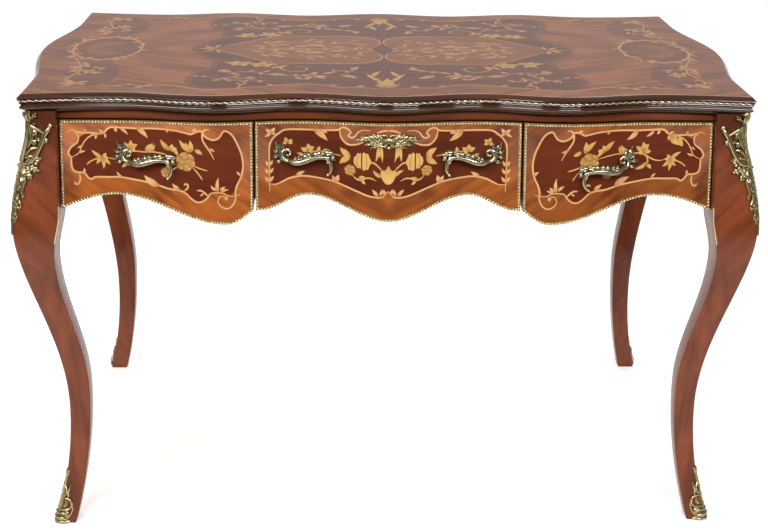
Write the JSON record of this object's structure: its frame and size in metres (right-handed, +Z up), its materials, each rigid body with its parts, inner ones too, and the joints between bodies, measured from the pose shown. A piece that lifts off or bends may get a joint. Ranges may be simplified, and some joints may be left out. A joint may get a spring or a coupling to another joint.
{
  "type": "writing desk",
  "caption": "Serpentine writing desk on cabriole legs, with a moulded inlaid top, shaped frieze drawers on slides and gilt brass handles and mounts.",
  "frame": {"origin": "on the floor under the centre of the desk", "axes": "+Z up, +X along the front to the right, the drawers face -Y"},
  "size_m": [1.247, 0.7688, 0.78],
  "materials": {
    "top": "inlaid veneer under clear lacquer, with a dark moulded edge",
    "veneer": "inlaid reddish brown veneer under clear lacquer",
    "carcass": "bare planed softwood",
    "brass": "cast and gilt, darkened in the hollows",
    "steel": "plain"
  },
  "bodies": {
    "carcass": {"back_apron": "veneer", "drawer_guide_left": "carcass", "drawer_guide_right": "carcass", "front_lower_rail": "carcass", "front_top_rail": "veneer", "knee_mount_back_left": "brass", "knee_mount_back_right": "brass", "knee_mount_front_left": "brass", "knee_mount_front_right": "brass", "leg_back_left": "veneer", "leg_back_right": "veneer", "leg_front_left": "veneer", "leg_front_right": "veneer", "partition_left": "carcass", "partition_right": "carcass", "runner_centre_drawer_left": "carcass", "runner_centre_drawer_right": "carcass", "runner_left_drawer_inner": "carcass", "runner_left_drawer_outer": "carcass", "runner_right_drawer_inner": "carcass", "runner_right_drawer_outer": "carcass", "sabot_back_left": "brass", "sabot_back_right": "brass", "sabot_front_left": "brass", "sabot_front_right": "brass", "side_apron_left": "veneer", "side_apron_right": "veneer", "top_panel": "top", "top_rope_moulding": "brass"},
    "drawer_left": {"drawer_left_back": "carcass", "drawer_left_bead_frame": "brass", "drawer_left_bottom": "carcass", "drawer_left_front": "veneer", "drawer_left_side_left": "carcass", "drawer_left_side_right": "carcass", "handle_left": "brass", "handle_left_screw_curl": "steel", "handle_left_screw_leaf": "steel"},
    "drawer_centre": {"drawer_centre_back": "carcass", "drawer_centre_bead_frame": "brass", "drawer_centre_bottom": "carcass", "drawer_centre_front": "veneer", "drawer_centre_side_left": "carcass", "drawer_centre_side_right": "carcass", "escutcheon": "brass", "handle_centre_left": "brass", "handle_centre_left_screw_curl": "steel", "handle_centre_left_screw_leaf": "steel", "handle_centre_right": "brass", "handle_centre_right_screw_curl": "steel", "handle_centre_right_screw_leaf": "steel"},
    "drawer_right": {"drawer_right_back": "carcass", "drawer_right_bead_frame": "brass", "drawer_right_bottom": "carcass", "drawer_right_front": "veneer", "drawer_right_side_left": "carcass", "drawer_right_side_right": "carcass", "handle_right": "brass", "handle_right_screw_curl": "steel", "handle_right_screw_leaf": "steel"}
  },
  "joints": [
    {"name": "drawer_left_slide", "type": "slide", "parent": "carcass", "child": "drawer_left", "axis": [0, -1, 0], "range_m": [0, 0.36]},
    {"name": "drawer_centre_slide", "type": "slide", "parent": "carcass", "child": "drawer_centre", "axis": [0, -1, 0], "range_m": [0, 0.36]},
    {"name": "drawer_right_slide", "type": "slide", "parent": "carcass", "child": "drawer_right", "axis": [0, -1, 0], "range_m": [0, 0.36]}
  ]
}
